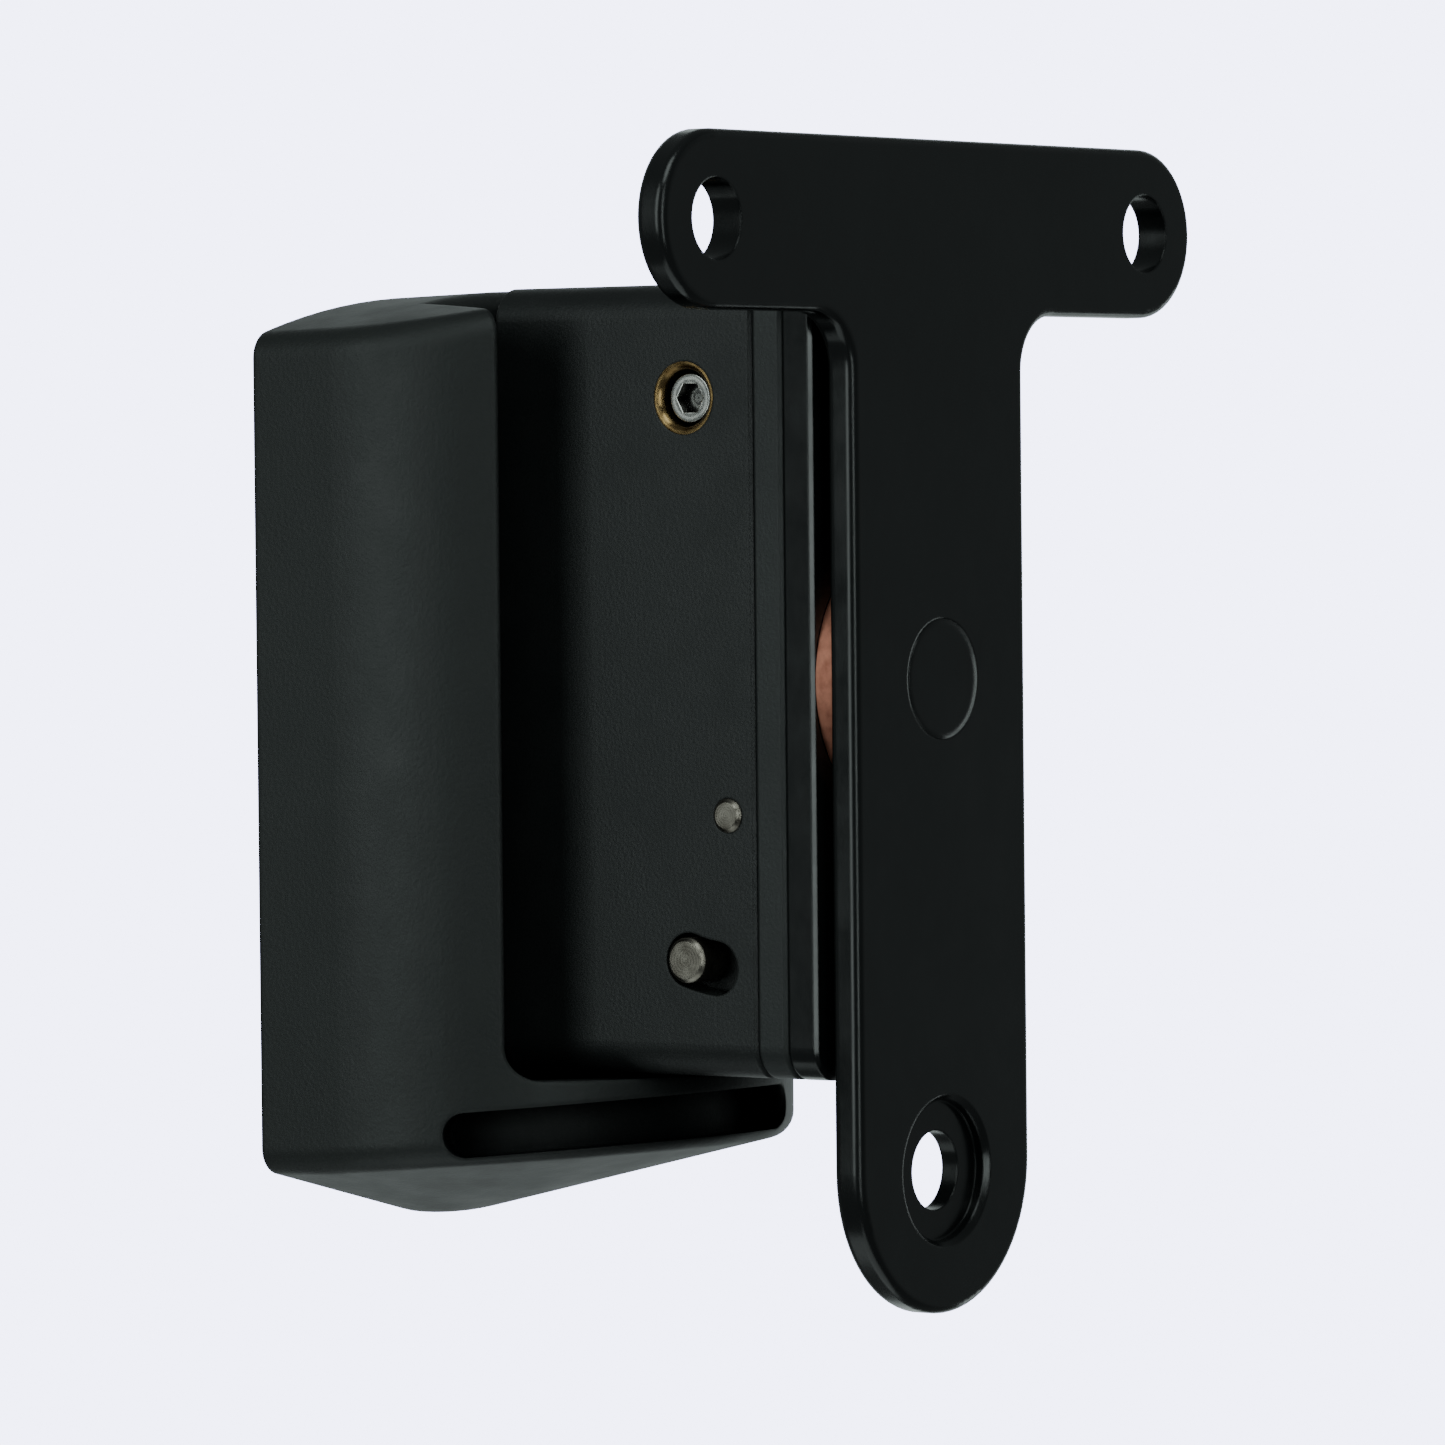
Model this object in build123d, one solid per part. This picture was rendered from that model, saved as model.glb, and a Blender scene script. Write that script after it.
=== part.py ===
from build123d import *
import os
from math import atan2, cos, degrees, hypot, radians, sin, sqrt, tan

# Speaker wall bracket: a T-shaped wall plate, an arm that rolls on it, a block that tilts in the arm,
# and a moulded carrier shell that swivels on the block and holds the loudspeaker.
# The wall face is y = 0, the room is towards -y, z is up, and the origin lies on the roll stud's axis.
# A depth is a distance from the wall face into the room. All sizes are in millimetres and degrees.

# Clearances
running_clearance = 0.04
assembly_clearance = 0.1
moving_clearance = 0.3
seat_gap = 0.05

# Wall plate
hole_spacing = 65.0
top_hole_height = 39.4
bottom_hole_drop = 43.0
foot_centre_drop = 42.5
wall_hole_diameter = 7.0
bar_height = 15.2
stem_width = 26.0
plate_thickness = 3.0
plate_corner_radius = 5.0
plate_edge_radius = 0.8
recess_diameter = 12.4
recess_depth = 1.3
recess_chamfer = 0.5

# Roll stud and its stack
stud_head_diameter = 10.5
stud_diameter = 8.0
stud_end_chamfer = 0.6
friction_washer_margin = 0.5
friction_washer_thickness = 1.75
stud_washer_diameter = 14.0
stud_washer_thickness = 1.2
spring_diameter = 13.6
spring_thickness = 0.8
spring_cone_height = 0.6
nut_across_flats = 13.0
nut_thickness = 4.0
nut_corner_trim = 0.4
stud_overhang = 0.7

# Arm: turning plate, rear cap and housing share one outline
arm_width = 25.3
arm_height = 69.4
arm_corner_radius = 3.0
turning_plate_thickness = 3.2
rear_cap_thickness = 3.2
arm_edge_chamfer = 0.35
housing_length = 28.2
cheek_thickness = 3.0
housing_end_wall = 4.5
bottom_wall_setback = 9.5
arm_screw_diameter = 2.5
arm_screw_head_diameter = 3.8
arm_screw_length = 10.0
arm_screw_spacing = 14.0

# Tilt pivot, limit pin and lock screw
tilt_range = 12.7
tilt_spare = 1.0
pivot_depth = 14.1
pivot_drop = 11.7
pivot_pin_diameter = 3.0
limit_pin_depth = 18.5
limit_pin_inset = 10.3
limit_pin_diameter = 4.0
limit_slot_width = 4.8
pivot_pin_stand = 0.4
limit_pin_stand = 0.6
pin_chamfer = 0.35
lock_screw_inset = 10.0
lock_screw_depth = 18.5
lock_screw_diameter = 5.0
lock_screw_hex = 2.5
lock_screw_hex_depth = 1.2
lock_screw_sink = 1.0
insert_diameter = 6.4
insert_chamfer = 0.4

# Tilt block
block_top_gap = 2.2
block_bottom_gap = 2.9
block_front_depth = 36.0
block_toe_depth = 25.0
pivot_boss_radius = 2.4
nut_pocket_height = 9.0
neck_width = 9.0
neck_step = 0.5

# Swivel
swivel_depth = 47.8
swivel_range = 20.0
hub_diameter = 11.0
hub_inset = 12.7
hub_front_gap = 0.8
swivel_pin_diameter = 6.0
swivel_pin_grip = 8.0
bush_wall = 1.2
bush_length = 8.0
bush_flange_thickness = 1.0
spring_washer_thickness = 0.9

# Carrier shell
shell_radius = 25.35
shell_wall = 2.5
shell_edge_radius = 2.5
roof_step = 0.2
roof_crown_radius = 84.0
roof_slope = 1.5
base_height = 14.6
underside_slope = 13.9
underside_tip_radius = 22.5
opening_half_width = 20.5
opening_corner_radius = 3.0
roof_lip_radius = 1.6
opening_taper = 24.0
opening_front_gap = 0.5
sill_gap = 0.4
floor_recess = 0.8
cable_slot_height = 4.0
cable_slot_slope = 5.0
cable_slot_depth = 3.4
cable_slot_below_sill = 1.5
cable_slot_near_angle = 66.5
cable_slot_far_angle = 22.0
speaker_hole_diameter = 5.2
speaker_hole_spacing = 32.0

# Depths that follow from the stack
turning_plate_depth = plate_thickness + friction_washer_thickness + seat_gap
rear_cap_depth = turning_plate_depth + turning_plate_thickness
housing_depth = rear_cap_depth + rear_cap_thickness
housing_front_depth = housing_depth + housing_length
stud_washer_depth = housing_depth + seat_gap
first_spring_depth = stud_washer_depth + stud_washer_thickness
spring_height = spring_thickness + spring_cone_height
second_spring_depth = first_spring_depth + spring_height
nut_depth = second_spring_depth + spring_height
stud_end_depth = nut_depth + nut_thickness + stud_overhang
nut_pocket_depth = stud_end_depth + 2 * moving_clearance

# Depths that follow from the swivel: its front wall, its open back's edge and the roof's edge,
# which clears the arm's front corner at the end of the swivel
shell_front_depth = swivel_depth + hub_diameter / 2 + hub_front_gap + shell_wall
opening_edge_depth = swivel_depth - sqrt(shell_radius**2 - opening_half_width**2)
corner_setback = (swivel_depth - housing_front_depth) * cos(radians(swivel_range))
corner_advance = arm_width / 2 * sin(radians(swivel_range))
roof_opening_depth = swivel_depth - corner_setback + corner_advance + opening_front_gap

# Heights and widths that follow from the arm
friction_washer_diameter = arm_width - friction_washer_margin
cheek_inner = arm_width / 2 - cheek_thickness
block_half_width = cheek_inner - moving_clearance
arm_screw_height = arm_height / 2 - housing_end_wall / 2
lock_screw_height = arm_height / 2 - lock_screw_inset
limit_pin_drop = arm_height / 2 - limit_pin_inset
block_top = arm_height / 2 - housing_end_wall - block_top_gap
block_bottom = arm_height / 2 - housing_end_wall - block_bottom_gap
hub_half_height = arm_height / 2 - hub_inset
neck_half_height = hub_half_height - neck_step
roof_height = arm_height / 2 - roof_step
sill_height = -arm_height / 2 - sill_gap
floor_height = sill_height - floor_recess
underside_drop = base_height - sill_height
cable_slot_centre = sill_height - cable_slot_below_sill - cable_slot_height / 2
bush_flange_end = hub_half_height + bush_flange_thickness
upper_boss_height = bush_flange_end + spring_washer_thickness + seat_gap
lower_boss_height = -bush_flange_end - seat_gap

# Planes: wall view (x, z), side view (depth, z) and plan (x, depth)
side_plane = Plane(origin=(0, 0, 0), x_dir=(0, -1, 0), z_dir=(-1, 0, 0))
tall = 4 * arm_height


def slab(sketch, depth, thickness):
    """A wall-view sketch extruded into the room from the given depth."""
    return extrude(Plane.XZ.offset(depth) * sketch, thickness)


def rod(diameter, depth, length, x=0.0, z=0.0):
    """A round bar along the depth direction."""
    return slab(Pos(x, z) * Circle(diameter / 2), depth, length)


def cross_rod(diameter, x_start, x_end, depth, z):
    """A round bar along x."""
    plane = Plane(origin=(x_start, -depth, z), x_dir=(0, -1, 0), z_dir=(1, 0, 0))
    return extrude(plane * Circle(diameter / 2), x_end - x_start)


def post(diameter, z_start, z_end, depth=swivel_depth, x=0.0):
    """A round bar along z, on the swivel axis unless told otherwise."""
    return extrude(Plane.XY.offset(z_start) * Pos(x, -depth) * Circle(diameter / 2), z_end - z_start)


def side_block(sketch, half_width):
    """A side-view sketch extruded to both sides of the middle plane."""
    return extrude(side_plane * sketch, half_width, both=True)


def round_edges(solid, axis):
    """The circular edges at the two ends of a bar."""
    return solid.edges().filter_by(GeomType.CIRCLE).sort_by(axis)


def wall_plate():
    bar = Pos(0, top_hole_height) * SlotCenterToCenter(hole_spacing, bar_height)
    stem_height = top_hole_height + foot_centre_drop
    stem = Pos(0, (top_hole_height - foot_centre_drop) / 2) * Rectangle(stem_width, stem_height)
    foot = Pos(0, -foot_centre_drop) * Circle(stem_width / 2)
    outline = bar + stem + foot
    shoulder = top_hole_height - bar_height / 2
    inner_corners = [
        v for v in outline.vertices()
        if abs(abs(v.X) - stem_width / 2) < 0.01 and abs(v.Y - shoulder) < 0.01
    ]
    outline = fillet(inner_corners, plate_corner_radius)
    plate = slab(outline, 0, plate_thickness)
    plate = fillet(plate.faces().filter_by(Axis.Y).edges(), plate_edge_radius)
    for x in (-hole_spacing / 2, hole_spacing / 2):
        plate -= rod(wall_hole_diameter, 0, plate_thickness, x, top_hole_height)
    plate -= rod(wall_hole_diameter, 0, plate_thickness, 0, -bottom_hole_drop)
    recess = rod(recess_diameter, 0, recess_depth, 0, -bottom_hole_drop)
    plate -= recess
    rim = [
        e for e in plate.edges().filter_by(GeomType.CIRCLE)
        if abs(e.radius - recess_diameter / 2) < 0.01 and abs(e.center().Y) < 0.01
    ]
    plate = chamfer(rim, recess_chamfer)
    return plate - rod(stud_head_diameter + assembly_clearance, 0, plate_thickness)


def roll_stud():
    head = rod(stud_head_diameter, 0, plate_thickness)
    shank = rod(stud_diameter, plate_thickness, stud_end_depth - plate_thickness)
    shank = chamfer(round_edges(shank, Axis.Y)[0], stud_end_chamfer)
    return head + shank


def stud_ring(diameter, depth, thickness):
    """A flat washer on the roll stud."""
    return rod(diameter, depth, thickness) - rod(stud_diameter + 2 * moving_clearance, depth, thickness)


def disc_spring(depth, opens_to_room):
    """A conical spring washer, wide end towards the room or towards the wall."""
    inner = stud_diameter / 2 + moving_clearance
    outer = spring_diameter / 2
    lift = spring_cone_height
    inner_lift, outer_lift = (0, lift) if opens_to_room else (lift, 0)
    section = Polyline(
        (depth + inner_lift, inner),
        (depth + inner_lift + spring_thickness, inner),
        (depth + outer_lift + spring_thickness, outer),
        (depth + outer_lift, outer),
        close=True,
    )
    return revolve(side_plane * make_face(section), Axis.Y)


def stud_lock_nut():
    blank = slab(RegularPolygon(nut_across_flats / 2, 6, major_radius=False), nut_depth, nut_thickness)
    across_corners = nut_across_flats / cos(radians(30))
    corner_round = rod(across_corners - nut_corner_trim, nut_depth, nut_thickness)
    blank &= chamfer(round_edges(corner_round, Axis.Y), stud_end_chamfer)
    return blank - rod(stud_diameter + assembly_clearance, nut_depth, nut_thickness)


def arm_outline():
    return RectangleRounded(arm_width, arm_height, arm_corner_radius)


def arm_screw_points():
    for x in (-arm_screw_spacing / 2, arm_screw_spacing / 2):
        for z in (-arm_screw_height, arm_screw_height):
            yield x, z


def arm_screw(x, z, clearance=0.0):
    """One countersunk screw, or its hole when given a clearance."""
    head_radius = arm_screw_head_diameter / 2 + clearance
    shank_radius = arm_screw_diameter / 2 + clearance
    start = turning_plate_depth + (0.0 if clearance else seat_gap)
    section = Polyline(
        (start, 0),
        (start, head_radius),
        (start + head_radius - shank_radius, shank_radius),
        (start + arm_screw_length + clearance, shank_radius),
        (start + arm_screw_length + clearance, 0),
        close=True,
    )
    return Pos(x, 0, z) * revolve(side_plane * make_face(section), Axis.Y)


def drill_arm_screws(solid):
    for x, z in arm_screw_points():
        solid -= arm_screw(x, z, assembly_clearance)
    return solid


def turning_plate():
    plate = slab(arm_outline(), turning_plate_depth, turning_plate_thickness)
    plate = chamfer(plate.faces().filter_by(Axis.Y).edges(), arm_edge_chamfer)
    bore = stud_diameter + 2 * running_clearance
    return drill_arm_screws(plate - rod(bore, turning_plate_depth, turning_plate_thickness))


def rear_cap():
    cap = slab(arm_outline(), rear_cap_depth, rear_cap_thickness)
    cap = chamfer(cap.faces().filter_by(Axis.Y).edges(), arm_edge_chamfer)
    bore = stud_diameter + 2 * moving_clearance
    return drill_arm_screws(cap - rod(bore, rear_cap_depth, rear_cap_thickness))


def plate_screws():
    return Compound(children=[arm_screw(x, z) for x, z in arm_screw_points()])


def limit_slot():
    """The curved slot that the limit pin runs in, centred on the tilt pivot."""
    reach = hypot(limit_pin_depth - pivot_depth, limit_pin_drop - pivot_drop)
    rest_angle = degrees(atan2(pivot_drop - limit_pin_drop, limit_pin_depth - pivot_depth))
    path = CenterArc((pivot_depth, -pivot_drop), reach, rest_angle - tilt_range, tilt_range)
    return side_block(SlotArc(path, limit_slot_width), arm_width)


def arm_housing():
    body = slab(arm_outline(), housing_depth, housing_length)
    body = chamfer(body.faces().filter_by(Axis.Y).edges(), arm_edge_chamfer)
    cavity_height = arm_height - 2 * housing_end_wall
    body -= slab(Rectangle(2 * cheek_inner, cavity_height), housing_depth, housing_length)
    floor_front = housing_front_depth - bottom_wall_setback
    floor_gap = Pos(0, -arm_height / 2) * Rectangle(2 * cheek_inner, arm_height / 2)
    body -= slab(floor_gap, floor_front, bottom_wall_setback)
    body -= limit_slot()
    body -= cross_rod(pivot_pin_diameter, -arm_width, arm_width, pivot_depth, -pivot_drop)
    body -= cross_rod(insert_diameter, 0, arm_width, lock_screw_depth, lock_screw_height)
    return drill_arm_screws(body)


def cross_pin(diameter, stand, depth, z):
    """A pin right through the arm, standing proud of both cheeks, with chamfered ends."""
    half = arm_width / 2 + stand
    pin = cross_rod(diameter, -half, half, depth, z)
    ends = round_edges(pin, Axis.X)
    return chamfer(ends, pin_chamfer)


def lock_screw_insert():
    outer = arm_width / 2
    insert = cross_rod(insert_diameter, cheek_inner, outer, lock_screw_depth, lock_screw_height)
    bore_diameter = lock_screw_diameter + assembly_clearance
    insert -= cross_rod(bore_diameter, cheek_inner, outer, lock_screw_depth, lock_screw_height)
    mouth = [e for e in round_edges(insert, Axis.X) if e.radius < insert_diameter / 2 - 0.01][-1]
    return chamfer(mouth, insert_chamfer)


def tilt_lock_screw():
    tip = cheek_inner - moving_clearance + seat_gap
    head = arm_width / 2 - lock_screw_sink
    screw = cross_rod(lock_screw_diameter, tip, head, lock_screw_depth, lock_screw_height)
    screw = chamfer(round_edges(screw, Axis.X), insert_chamfer)
    socket_plane = Plane(
        origin=(head - lock_screw_hex_depth, -lock_screw_depth, lock_screw_height),
        x_dir=(0, -1, 0), z_dir=(1, 0, 0),
    )
    socket = RegularPolygon(lock_screw_hex / 2, 6, major_radius=False)
    return screw - extrude(socket_plane * socket, lock_screw_hex_depth)


def tilt_block():
    relief = tilt_range + tilt_spare
    boss_rear = pivot_depth - pivot_boss_radius * cos(radians(relief))
    boss_foot = -pivot_drop - pivot_boss_radius * sin(radians(relief))
    heel_depth = boss_rear + (boss_foot + block_bottom) * tan(radians(relief))
    rear = housing_depth + 2 * moving_clearance
    pocket_floor = -nut_pocket_height
    profile = Polyline(
        (pivot_depth, pocket_floor),
        (nut_pocket_depth, pocket_floor),
        (nut_pocket_depth, nut_pocket_height),
        (rear, nut_pocket_height),
        (rear, block_top),
        (block_front_depth, block_top),
        (block_front_depth, -neck_half_height),
        (block_toe_depth, -block_bottom),
        (heel_depth, -block_bottom),
        (boss_rear, boss_foot),
        close=True,
    )
    side = make_face(profile) + Pos(pivot_depth, -pivot_drop) * Circle(pivot_boss_radius)
    block = side_block(side, block_half_width)
    neck_length = swivel_depth - block_front_depth
    neck = Pos(block_front_depth + neck_length / 2, 0) * Rectangle(neck_length, 2 * neck_half_height)
    block += side_block(neck, neck_width / 2)
    block += post(hub_diameter, -hub_half_height, hub_half_height)
    bush_diameter = swivel_pin_diameter + 2 * bush_wall
    block -= post(bush_diameter, -hub_half_height, hub_half_height)
    block -= cross_rod(
        pivot_pin_diameter + 2 * running_clearance, -arm_width, arm_width, pivot_depth, -pivot_drop
    )
    return block - cross_rod(limit_pin_diameter, -arm_width, arm_width, limit_pin_depth, -limit_pin_drop)


def swivel_bush(upward):
    """A flanged bush in one end of the hub; its flange takes the thrust."""
    bush_diameter = swivel_pin_diameter + 2 * bush_wall
    bush = post(bush_diameter, hub_half_height - bush_length, hub_half_height)
    bush += post(hub_diameter, hub_half_height, bush_flange_end)
    bush -= post(swivel_pin_diameter + 2 * running_clearance, 0, tall)
    return bush if upward else mirror(bush, Plane.XY)


def swivel_spring_washer():
    top = bush_flange_end + spring_washer_thickness
    washer = post(hub_diameter, bush_flange_end, top)
    return washer - post(swivel_pin_diameter + 2 * moving_clearance, bush_flange_end, top)


def swivel_pin():
    half = lower_boss_height - swivel_pin_grip, upper_boss_height + swivel_pin_grip
    pin = post(swivel_pin_diameter, *half)
    return chamfer(round_edges(pin, Axis.Z), pin_chamfer)


def shell_plan(inset):
    """Plan of the shell: a half round towards the wall with straight sides to the front."""
    radius = shell_radius - inset
    front = shell_front_depth - inset
    back = Pos(0, -swivel_depth) * Circle(radius)
    back &= Pos(0, -swivel_depth + radius) * Rectangle(4 * radius, 2 * radius)
    sides = Pos(0, -(swivel_depth + front) / 2) * Rectangle(2 * radius, front - swivel_depth)
    return back + sides


def under_roof(inset):
    """Everything below the crowned roof, which rises a little towards the wall."""
    barrel = Cylinder(roof_crown_radius, tall, rotation=(90, 0, 0))
    barrel = Pos(0, 0, roof_height - inset - roof_crown_radius) * barrel
    return Pos(0, -shell_front_depth, 0) * (Rot(roof_slope, 0, 0) * barrel)


def above_underside():
    """Everything above the shallow cone that closes the bottom, with its tip rounded."""
    slope = radians(underside_slope)
    tip_edge = underside_tip_radius * sin(slope)
    tip_edge_height = -underside_drop + tip_edge * tan(slope)
    tip_height = tip_edge_height - underside_tip_radius * (1 - cos(slope))
    reach = 3 * shell_radius
    tip = RadiusArc((0, tip_height), (tip_edge, tip_edge_height), -underside_tip_radius)
    outline = tip + Polyline(
        (tip_edge, tip_edge_height),
        (reach, -underside_drop + reach * tan(slope)),
        (reach, tall),
        (0, tall),
        (0, tip_height),
    )
    cone = revolve(Plane.XZ * make_face(outline), Axis.Z)
    return Pos(0, -shell_front_depth, 0) * cone


def cable_slot():
    """The slot round the shell's base, with round ends, on one side and the back, rising to the wall."""
    inner = shell_radius - cable_slot_depth
    outer = shell_radius + cable_slot_depth
    end_angle = degrees(cable_slot_height / 2 / shell_radius)
    slot_height_on_axis = cable_slot_centre - shell_radius * tan(radians(cable_slot_slope))

    def direction(angle):
        return Vector(sin(radians(angle)), cos(radians(angle)), 0)

    first = cable_slot_near_angle - end_angle
    last = end_angle - cable_slot_far_angle
    start = direction(first)
    start_plane = Plane(origin=(0, 0, 0), x_dir=start, z_dir=start.cross(Vector(0, 0, 1)))
    section = Pos((inner + outer) / 2, 0) * Rectangle(outer - inner, cable_slot_height)
    slot = revolve(start_plane * section, Axis.Z, first - last)
    for angle in (first, last):
        mouth = Plane(origin=direction(angle) * inner, z_dir=direction(angle))
        slot += extrude(mouth * Circle(cable_slot_height / 2), outer - inner)
    return Pos(0, -swivel_depth, slot_height_on_axis) * (Rot(cable_slot_slope, 0, 0) * slot)


def open_back():
    """The opening for the arm: it narrows towards the front and has round lower corners."""
    def half_width(depth):
        return opening_half_width + (opening_edge_depth - depth) * tan(radians(opening_taper))

    rear, front = half_width(0), half_width(roof_opening_depth)
    plan = Polyline(
        (-rear, 0), (rear, 0), (front, -roof_opening_depth), (-front, -roof_opening_depth), close=True
    )
    cut = extrude(Plane.XY.offset(sill_height) * make_face(plan), tall)
    lower_sides = [
        e for e in cut.edges()
        if abs(e.center().Z - sill_height) < 0.01 and abs(e.center().X) > front / 2
    ]
    return fillet(lower_sides, opening_corner_radius)


def shell():
    body = extrude(Plane.XY.offset(-tall / 2) * shell_plan(0), tall)
    body = body & under_roof(0) & above_underside()
    front = body.faces().sort_by(Axis.Y)[0]
    seams = [
        e for e in body.edges()
        if abs(e.center().Y + swivel_depth) < 0.01 and abs(abs(e.center().X) - shell_radius) < 0.01
    ]
    kept_sharp = seams + list(front.edges())
    body = fillet([e for e in body.edges() if e not in kept_sharp], shell_edge_radius)
    hollow = extrude(Plane.XY.offset(floor_height) * shell_plan(shell_wall), tall)
    body -= hollow & under_roof(shell_wall)
    boss = post(hub_diameter, floor_height, lower_boss_height)
    boss += post(hub_diameter, upper_boss_height, tall / 2) & under_roof(shell_wall / 2)
    body -= open_back()
    roof_lip = [e for e in body.edges() if abs(e.center().Y + roof_opening_depth) < 0.01]
    body = fillet(max(roof_lip, key=lambda e: e.center().Z), roof_lip_radius)
    body += boss
    pin_low = lower_boss_height - swivel_pin_grip
    pin_high = upper_boss_height + swivel_pin_grip
    body -= post(swivel_pin_diameter, pin_low, pin_high)
    for x in (-speaker_hole_spacing / 2, speaker_hole_spacing / 2):
        body -= rod(speaker_hole_diameter, swivel_depth, shell_radius, x, 0)
    return body - cable_slot()


pieces = {
    "wall_plate": wall_plate(),
    "roll_stud": roll_stud(),
    "friction_washer": stud_ring(friction_washer_diameter, plate_thickness, friction_washer_thickness),
    "stud_washer": stud_ring(stud_washer_diameter, stud_washer_depth, stud_washer_thickness),
    "disc_spring_rear": disc_spring(first_spring_depth, True),
    "disc_spring_front": disc_spring(second_spring_depth, False),
    "stud_lock_nut": stud_lock_nut(),
    "turning_plate": turning_plate(),
    "rear_cap": rear_cap(),
    "arm_housing": arm_housing(),
    "plate_screws": plate_screws(),
    "tilt_pivot_pin": cross_pin(pivot_pin_diameter, pivot_pin_stand, pivot_depth, -pivot_drop),
    "lock_screw_insert": lock_screw_insert(),
    "tilt_lock_screw": tilt_lock_screw(),
    "tilt_block": tilt_block(),
    "tilt_limit_pin": cross_pin(limit_pin_diameter, limit_pin_stand, limit_pin_depth, -limit_pin_drop),
    "swivel_bush_upper": swivel_bush(True),
    "swivel_bush_lower": swivel_bush(False),
    "swivel_spring_washer": swivel_spring_washer(),
    "swivel_pin": swivel_pin(),
    "shell": shell(),
}

os.makedirs("parts", exist_ok=True)
for name, piece in pieces.items():
    export_step(piece, f"parts/{name}.step")
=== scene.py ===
import bpy
from math import cos, radians, sin
from mathutils import Matrix, Vector


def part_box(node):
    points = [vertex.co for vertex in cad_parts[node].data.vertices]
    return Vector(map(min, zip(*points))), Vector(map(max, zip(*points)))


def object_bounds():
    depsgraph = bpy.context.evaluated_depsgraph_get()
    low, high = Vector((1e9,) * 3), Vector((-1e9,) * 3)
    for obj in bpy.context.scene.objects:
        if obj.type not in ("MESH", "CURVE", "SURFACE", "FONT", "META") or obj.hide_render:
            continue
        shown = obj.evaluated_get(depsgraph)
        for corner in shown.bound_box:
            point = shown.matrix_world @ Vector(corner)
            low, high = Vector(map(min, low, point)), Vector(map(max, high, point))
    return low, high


# Looks of a speaker wall bracket: finishes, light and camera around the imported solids.
# The wall face is y = 0, the room is towards -y and z is up. Lengths are in metres.

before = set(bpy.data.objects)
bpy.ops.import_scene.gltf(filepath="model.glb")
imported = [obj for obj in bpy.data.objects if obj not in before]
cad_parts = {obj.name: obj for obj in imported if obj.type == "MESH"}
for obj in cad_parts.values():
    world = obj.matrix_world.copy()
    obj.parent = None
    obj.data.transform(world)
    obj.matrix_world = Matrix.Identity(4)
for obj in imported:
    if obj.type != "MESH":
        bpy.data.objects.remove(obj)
cad_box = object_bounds()

# Camera, as in the photograph: it stands on the wall side and sees the plate's back
VIEW_AZIMUTH = 126.43
VIEW_ELEVATION = 1.566
VIEW_ROLL = -0.562
VIEW_TARGET = Vector((0.01151, -0.01543, -0.00363))
VIEW_DISTANCE = 0.715
SENSOR_WIDTH = 36.0
FOCAL_LENGTH = 204.25
CLIP_START = 0.01

# Colours, linear, each finish from its main tone to its second one
PAINT = ((0.0042, 0.0050, 0.0052), (0.0075, 0.0085, 0.0088))
COAT = ((0.0090, 0.0104, 0.0104), (0.0125, 0.0142, 0.0140))
# the rear cap: the arm's satin coat painted lighter, a painted sheen
CAP_WITH_PAINTED_SHEEN = ((0.0165, 0.0190, 0.0188), (0.0225, 0.0255, 0.0250))
SHELL = ((0.0125, 0.0146, 0.0140), (0.0180, 0.0205, 0.0195))
COPPER = ((0.66, 0.29, 0.20), (0.43, 0.17, 0.115))
NICKEL = ((0.29, 0.265, 0.228), (0.14, 0.125, 0.105))
SCREW_STEEL = ((0.92, 0.90, 0.84), (0.56, 0.56, 0.54))
STEEL = ((0.56, 0.56, 0.54), (0.34, 0.34, 0.33))
SPRING_STEEL = ((0.16, 0.16, 0.165), (0.09, 0.09, 0.095))
BRASS = ((0.34, 0.23, 0.10), (0.15, 0.09, 0.035))
BRONZE = ((0.42, 0.27, 0.13), (0.26, 0.15, 0.07))
# painted shade: the black that recesses are darkened to, where shade falls
PAINTED_SHADE_BLACK = (0.0030, 0.0033, 0.0038)
BACKGROUND = (0.93, 0.95, 1.30)
BACKGROUND_STRENGTH = 5.6
FILL_LIGHT = (0.105, 0.118, 0.118)
LIGHT_TINT = (0.88, 1.0, 0.98)

# Textures: noise scales per metre, the part of a noise's range that is used, and bump depths
CLOUD_SCALE = 55.0
SMEAR_SCALE = 180.0
PEEL_SCALE = 420.0
FILM_SCALE = 900.0
FIBRE_SCALE = 30.0
NOISE_RANGE = (0.3, 0.7)
FILM_RANGE = (0.35, 0.7)
# OPEN_RANGE and SPECULAR_RANGE shape the painted shade in recesses
OPEN_RANGE = (0.42, 0.85)
SPECULAR_RANGE = (0.04, 0.5)
PEEL_STRENGTH = 0.5
GRAIN_STRENGTH = 0.6
RING_STRENGTH = 0.2
RING_DEPTH = 0.00001
RING_DISTORTION = 1.5
RING_DETAIL = 3.0
WAVE_PERIOD = 0.314  # distance between two rings of the wave texture at scale 1
FINE_RINGS = 0.00040
METAL_EDGE = 0.00015
BEVEL_SAMPLES = 6
OPENNESS_SAMPLES = 8

# Axes that the turned pieces are round about
X_AXIS, Y_AXIS, Z_AXIS = range(3)

# Stage
FLOOR_DROP = 0.10
FLOOR_SIZE = 6.0
FLOOR_SHADE = 0.99


def new_material(name):
    """A node material with nothing but its shader, and its node tree."""
    material = bpy.data.materials.new(name)
    material.use_nodes = True
    tree = material.node_tree
    tree.nodes.clear()
    output = tree.nodes.new("ShaderNodeOutputMaterial")
    shader = tree.nodes.new("ShaderNodeBsdfPrincipled")
    tree.links.new(shader.outputs["BSDF"], output.inputs["Surface"])
    return material, tree, shader


def add_node(tree, kind, **values):
    """A node with its input sockets set by name."""
    node = tree.nodes.new(kind)
    for socket, value in values.items():
        node.inputs[socket].default_value = value
    return node


def noise(tree, coords, scale, detail=4.0, roughness=0.55):
    node = add_node(tree, "ShaderNodeTexNoise", Scale=scale, Detail=detail, Roughness=roughness)
    tree.links.new(coords, node.inputs["Vector"])
    return node.outputs["Fac"]


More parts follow.
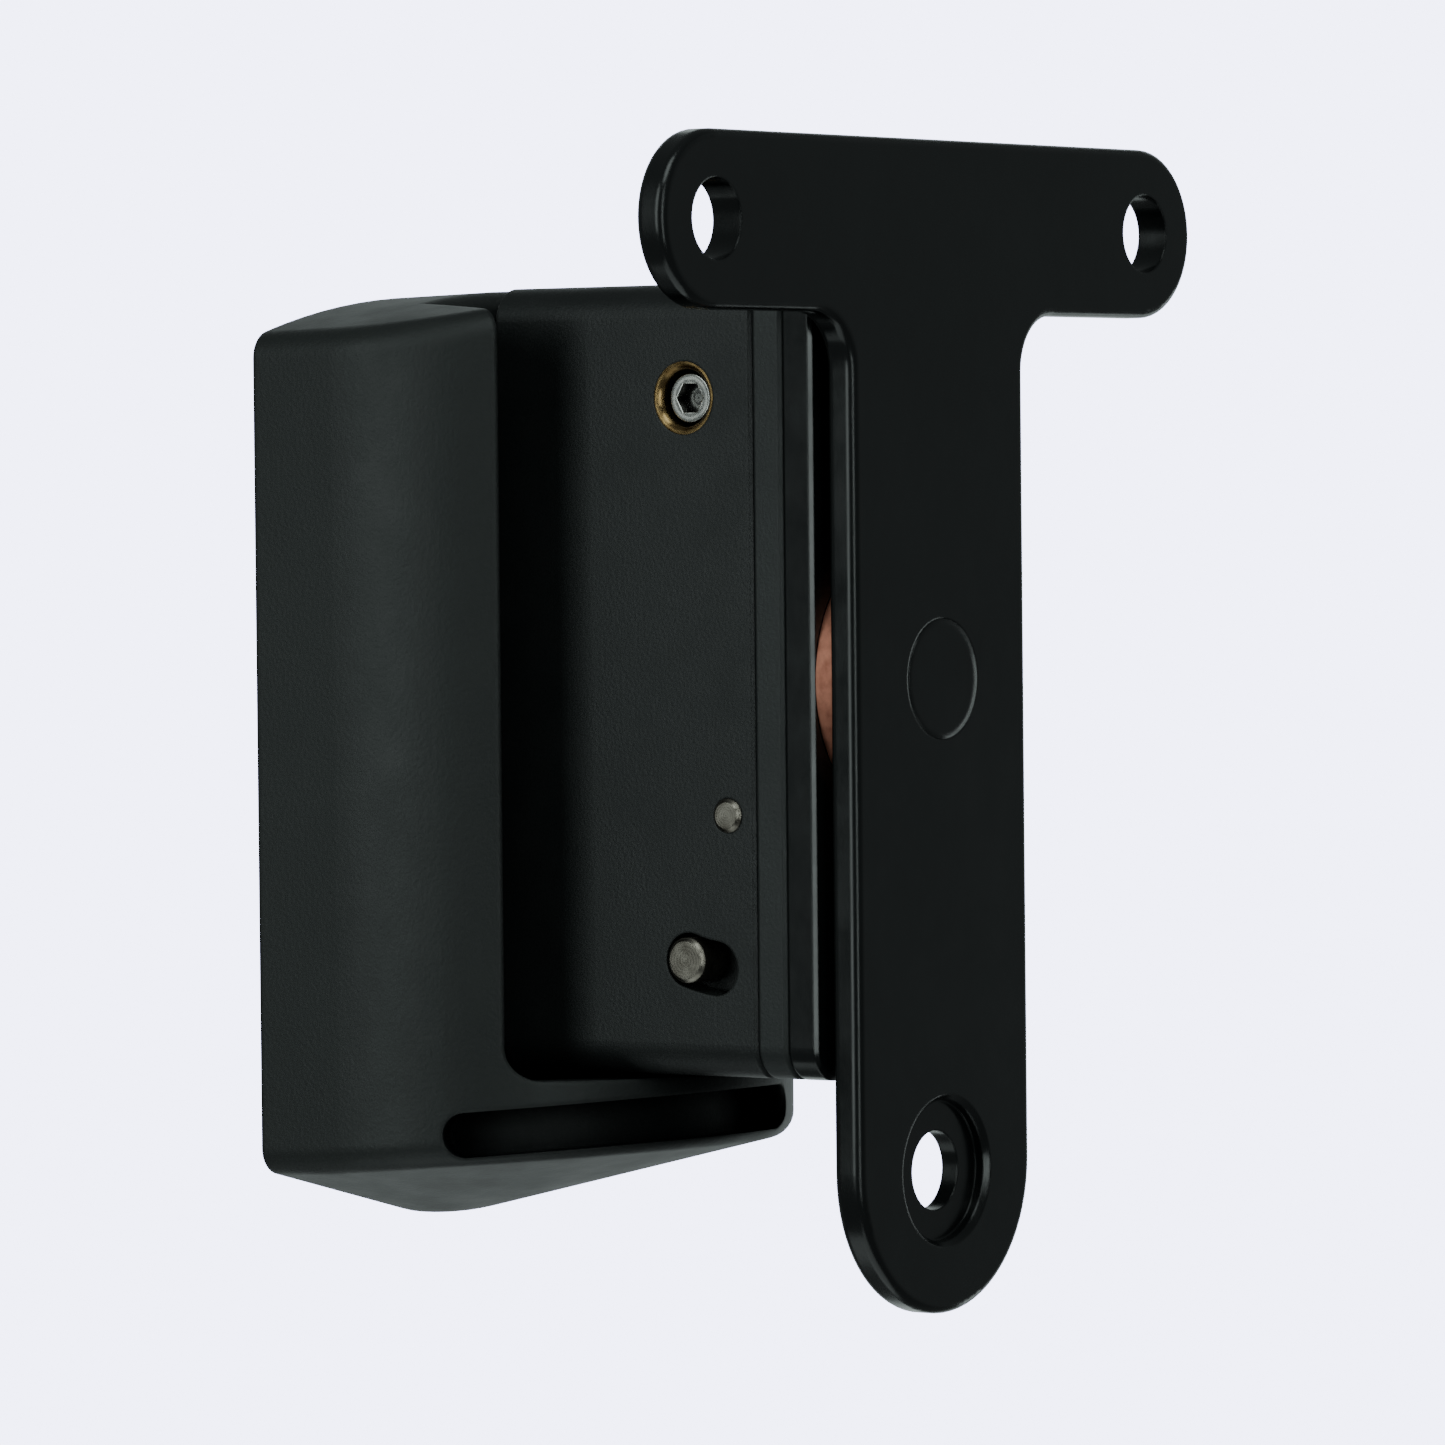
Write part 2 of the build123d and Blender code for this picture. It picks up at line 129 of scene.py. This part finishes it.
def spread(tree, value, limits, to_limits=(0.0, 1.0)):
    """Maps a value between two limits to a new range, clamped."""
    node = tree.nodes.new("ShaderNodeMapRange")
    node.inputs["From Min"].default_value, node.inputs["From Max"].default_value = limits
    node.inputs["To Min"].default_value, node.inputs["To Max"].default_value = to_limits
    tree.links.new(value, node.inputs["Value"])
    return node.outputs["Result"]


def mix_colours(tree, factor, first, second):
    node = tree.nodes.new("ShaderNodeMix")
    node.data_type = "RGBA"
    node.inputs["A"].default_value = (*first, 1.0)
    node.inputs["B"].default_value = (*second, 1.0)
    tree.links.new(factor, node.inputs["Factor"])
    return node.outputs["Result"]


def softened_normal(tree, edge_radius):
    """The surface normal with its sharp edges rounded off."""
    node = tree.nodes.new("ShaderNodeBevel")
    node.samples = BEVEL_SAMPLES
    node.inputs["Radius"].default_value = edge_radius
    return node.outputs["Normal"]


def bump(tree, height, depth, strength, normal):
    node = add_node(tree, "ShaderNodeBump", Strength=strength, Distance=depth)
    tree.links.new(height, node.inputs["Height"])
    tree.links.new(normal, node.inputs["Normal"])
    return node.outputs["Normal"]


def object_coords(tree):
    return tree.nodes.new("ShaderNodeTexCoord").outputs["Object"]


def openness(tree, reach):
    """How open the surface lies within a reach: 0 deep in a recess, 1 in the open. It places the
    painted shade.
    """
    node = add_node(tree, "ShaderNodeAmbientOcclusion", Distance=reach)
    node.samples = OPENNESS_SAMPLES
    return spread(tree, node.outputs["AO"], OPEN_RANGE)


def paint_recess_shade(tree, colour, reach):
    """The colour in the open, and painted shade: black deep in a recess."""
    darkened = mix_colours(tree, openness(tree, reach), PAINTED_SHADE_BLACK, PAINTED_SHADE_BLACK)
    tree.links.new(colour, darkened.node.inputs["B"])
    return darkened


def coating(name, tones, roughness, grain, edge_radius, peel_depth=0.0, painted_shade_reach=0.0):
    """A black coating: cloudy tone, uneven gloss and a fine grain, given by its scale and depth.

    It can have the slow wave of wet paint, and painted shade that turns it dull and dark in its
    recesses.
    """
    material, tree, shader = new_material(name)
    coords = object_coords(tree)
    clouds = spread(tree, noise(tree, coords, CLOUD_SCALE, detail=5.0), NOISE_RANGE)
    colour = mix_colours(tree, clouds, *tones)
    # painted shade: in recesses the reflection weakens and the colour goes black
    if painted_shade_reach:
        specular = spread(tree, openness(tree, painted_shade_reach), (0.0, 1.0), SPECULAR_RANGE)
        tree.links.new(specular, shader.inputs["Specular IOR Level"])
        colour = paint_recess_shade(tree, colour, painted_shade_reach)
    tree.links.new(colour, shader.inputs["Base Color"])
    smears = noise(tree, coords, SMEAR_SCALE, detail=6.0, roughness=0.65)
    tree.links.new(spread(tree, smears, NOISE_RANGE, roughness), shader.inputs["Roughness"])
    normal = softened_normal(tree, edge_radius)
    if peel_depth:
        peel = noise(tree, coords, PEEL_SCALE, detail=1.0)
        normal = bump(tree, peel, peel_depth, PEEL_STRENGTH, normal)
    grain_scale, grain_depth = grain
    speckle = noise(tree, coords, grain_scale, detail=2.0, roughness=0.5)
    normal = bump(tree, speckle, grain_depth, GRAIN_STRENGTH, normal)
    tree.links.new(normal, shader.inputs["Normal"])
    return material


def vector_math(tree, operation, vector, constant):
    node = tree.nodes.new("ShaderNodeVectorMath")
    node.operation = operation
    node.inputs[1].default_value = constant
    tree.links.new(vector, node.inputs[0])
    return node.outputs["Vector"]


def turning_rings(tree, coords, axis, centre, pitch):
    """Fine rings about an axis through a centre."""
    across = tuple(0.0 if i == axis else 1.0 for i in range(3))
    flat = vector_math(tree, "MULTIPLY", vector_math(tree, "SUBTRACT", coords, centre), across)
    rings = add_node(
        tree, "ShaderNodeTexWave",
        Scale=WAVE_PERIOD / pitch, Distortion=RING_DISTORTION, Detail=RING_DETAIL,
    )
    rings.wave_type = "RINGS"
    rings.rings_direction = "SPHERICAL"
    tree.links.new(flat, rings.inputs["Vector"])
    return rings.outputs["Fac"]


def turned_metal(name, tones, roughness, axis, centre, pitch, edge_radius, painted_shade_reach):
    """A turned metal: fine rings, a darker film in patches and, with a reach, painted shade in its
    recesses.
    """
    material, tree, shader = new_material(name)
    coords = object_coords(tree)
    rings = turning_rings(tree, coords, axis, centre, pitch)
    film = spread(tree, noise(tree, coords, FILM_SCALE, detail=5.0), FILM_RANGE)
    colour = mix_colours(tree, film, *tones)
    # painted shade: the colour goes black in recesses
    if painted_shade_reach:
        colour = paint_recess_shade(tree, colour, painted_shade_reach)
    tree.links.new(colour, shader.inputs["Base Color"])
    shader.inputs["Metallic"].default_value = 1.0
    tree.links.new(spread(tree, rings, (0.0, 1.0), roughness), shader.inputs["Roughness"])
    normal = bump(tree, rings, RING_DEPTH, RING_STRENGTH, softened_normal(tree, edge_radius))
    tree.links.new(normal, shader.inputs["Normal"])
    return material


def node_centre(node):
    low, high = (Vector(corner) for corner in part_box(node))
    return (low + high) / 2


def dress(node, material):
    """Gives a solid its finish."""
    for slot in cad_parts[node].material_slots:
        slot.material = material


# a reach paints shade into the metal's recesses
def turn(node, tones, roughness, axis, pitch=FINE_RINGS, edge=METAL_EDGE, painted_shade=0.0):
    """Gives a solid a turned metal of its own, with its rings about its middle."""
    name = node + "_metal"
    dress(node, turned_metal(name, tones, roughness, axis, node_centre(node), pitch, edge, painted_shade))


def dress_coated():
    dress("wall_plate", coating(
        "wall_paint", PAINT, (0.15, 0.26), (2600.0, 0.000004), 0.0003, peel_depth=0.00003,
    ))
    dress("roll_stud", coating(
        "stud_paint", PAINT, (0.12, 0.22), (2600.0, 0.000004), 0.0010, peel_depth=0.00003,
    ))
    dress("turning_plate", coating(
        "plate_paint", PAINT, (0.16, 0.24), (2600.0, 0.000003), 0.0002, peel_depth=0.00002,
    ))
    dress("arm_housing", coating("arm_coating", COAT, (0.40, 0.54), (3000.0, 0.000040), 0.0003))
    # the rear cap's lighter tones are a painted sheen on the arm's coat
    dress("rear_cap", coating("cap_coating", CAP_WITH_PAINTED_SHEEN, (0.42, 0.54), (3000.0, 0.000040), 0.0003))
    dress("tilt_block", coating("block_coating", COAT, (0.45, 0.60), (2500.0, 0.000040), 0.0004))
    # the shell gets painted shade in its slot and opening
    dress("shell", coating(
        "shell_black", SHELL, (0.47, 0.55), (2600.0, 0.000050), 0.0006, painted_shade_reach=0.005,
    ))


def dress_turned():
    turn("friction_washer", COPPER, (0.42, 0.60), Y_AXIS, pitch=0.0006)
    turn("tilt_pivot_pin", NICKEL, (0.30, 0.42), X_AXIS, pitch=0.00025, edge=0.0002)
    turn("tilt_limit_pin", NICKEL, (0.30, 0.42), X_AXIS, pitch=0.00030, edge=0.0002)
    turn("lock_screw_insert", BRASS, (0.22, 0.36), X_AXIS, pitch=0.00030, edge=0.0004)
    # the screw's hex socket gets painted shade, black
    turn("tilt_lock_screw", SCREW_STEEL, (0.16, 0.28), X_AXIS, pitch=0.00050, painted_shade=0.0019)
    for node in ("stud_washer", "stud_lock_nut", "plate_screws"):
        turn(node, STEEL, (0.25, 0.42), Y_AXIS)
    for node in ("disc_spring_rear", "disc_spring_front"):
        turn(node, SPRING_STEEL, (0.30, 0.45), Y_AXIS)
    turn("swivel_spring_washer", SPRING_STEEL, (0.30, 0.45), Z_AXIS)
    for node in ("swivel_bush_upper", "swivel_bush_lower"):
        turn(node, BRONZE, (0.35, 0.55), Z_AXIS)
    turn("swivel_pin", NICKEL, (0.22, 0.36), Z_AXIS)


def set_world():
    """Pale to look at, and only a dim fill as light."""
    world = bpy.data.worlds.new("studio")
    bpy.context.scene.world = world
    world.use_nodes = True
    tree = world.node_tree
    tree.nodes.clear()
    output = tree.nodes.new("ShaderNodeOutputWorld")
    seen = add_node(
        tree, "ShaderNodeBackground", Color=(*BACKGROUND, 1.0), Strength=BACKGROUND_STRENGTH,
    )
    fill = add_node(tree, "ShaderNodeBackground", Color=(*FILL_LIGHT, 1.0))
    choice = tree.nodes.new("ShaderNodeMixShader")
    path = tree.nodes.new("ShaderNodeLightPath")
    tree.links.new(path.outputs["Is Camera Ray"], choice.inputs["Fac"])
    tree.links.new(fill.outputs["Background"], choice.inputs[1])
    tree.links.new(seen.outputs["Background"], choice.inputs[2])
    tree.links.new(choice.outputs["Shader"], output.inputs["Surface"])


def add_floor():
    """A plain pale floor below the bracket, which hangs as it would on its wall."""
    material, tree, shader = new_material("floor_paper")
    coords = object_coords(tree)
    fibre = spread(tree, noise(tree, coords, FIBRE_SCALE), NOISE_RANGE)
    duller = tuple(FLOOR_SHADE * c for c in BACKGROUND)
    shader.inputs["Base Color"].default_value = (0.0, 0.0, 0.0, 1.0)
    shader.inputs["Roughness"].default_value = 1.0
    shader.inputs["Specular IOR Level"].default_value = 0.0
    tree.links.new(mix_colours(tree, fibre, BACKGROUND, duller), shader.inputs["Emission Color"])
    shader.inputs["Emission Strength"].default_value = BACKGROUND_STRENGTH
    low = cad_box[0][2] - FLOOR_DROP
    bpy.ops.mesh.primitive_plane_add(size=FLOOR_SIZE, location=(0, 0, low))
    floor = bpy.context.object
    floor.name = "floor"
    floor.data.materials.append(material)
    floor.visible_glossy = False
    floor.visible_diffuse = False


def add_softbox(name, direction, distance, size, power):
    """A rectangular area light that looks at the bracket."""
    light = bpy.data.lights.new(name, "AREA")
    light.shape = "RECTANGLE"
    light.size, light.size_y = size
    light.energy = power
    light.color = LIGHT_TINT
    lamp = bpy.data.objects.new(name, light)
    bpy.context.collection.objects.link(lamp)
    towards = Vector(direction).normalized()
    lamp.location = VIEW_TARGET + towards * distance
    lamp.rotation_euler = towards.to_track_quat("Z", "Y").to_euler()


def add_lights():
    """Soft boxes about the bracket, and two narrow strips that draw its edges and the stud's rim."""
    add_softbox("side_key", (0.955, -0.295, 0.22), 0.9, (0.40, 0.8), 2.4)
    add_softbox("overhead", (0.45, 0.35, 0.85), 0.8, (0.4, 0.4), 1.4)
    add_softbox("backdrop", (-0.80, -0.59, -0.08), 1.0, (1.6, 1.5), 5.8)
    add_softbox("table_glow", (0.25, -0.10, -1.0), 0.6, (0.6, 0.6), 0.9)
    add_softbox("wall_side", (-0.80, 0.60, 0.10), 1.1, (1.2, 1.2), 0.26)
    add_softbox("edge_strip", (0.588, 0.809, 0.10), 0.9, (0.10, 0.8), 1.3)
    add_softbox("rim_strip", (-0.95, 0.14, -0.24), 0.4, (0.06, 0.26), 0.07)


def add_camera():
    azimuth, elevation, roll = map(radians, (VIEW_AZIMUTH, VIEW_ELEVATION, VIEW_ROLL))
    back = Vector((sin(azimuth) * cos(elevation), -cos(azimuth) * cos(elevation), sin(elevation)))
    level = Vector((0, 0, 1)).cross(back).normalized()
    upright = back.cross(level)
    right = level * cos(roll) + upright * sin(roll)
    up = upright * cos(roll) - level * sin(roll)
    data = bpy.data.cameras.new("camera")
    data.sensor_width = SENSOR_WIDTH
    data.lens = FOCAL_LENGTH
    data.clip_start = CLIP_START
    camera = bpy.data.objects.new("camera", data)
    bpy.context.collection.objects.link(camera)
    place = Matrix((right, up, back)).transposed().to_4x4()
    place.translation = VIEW_TARGET + back * VIEW_DISTANCE
    camera.matrix_world = place
    bpy.context.scene.camera = camera


dress_coated()
dress_turned()
set_world()
add_floor()
add_lights()
add_camera()
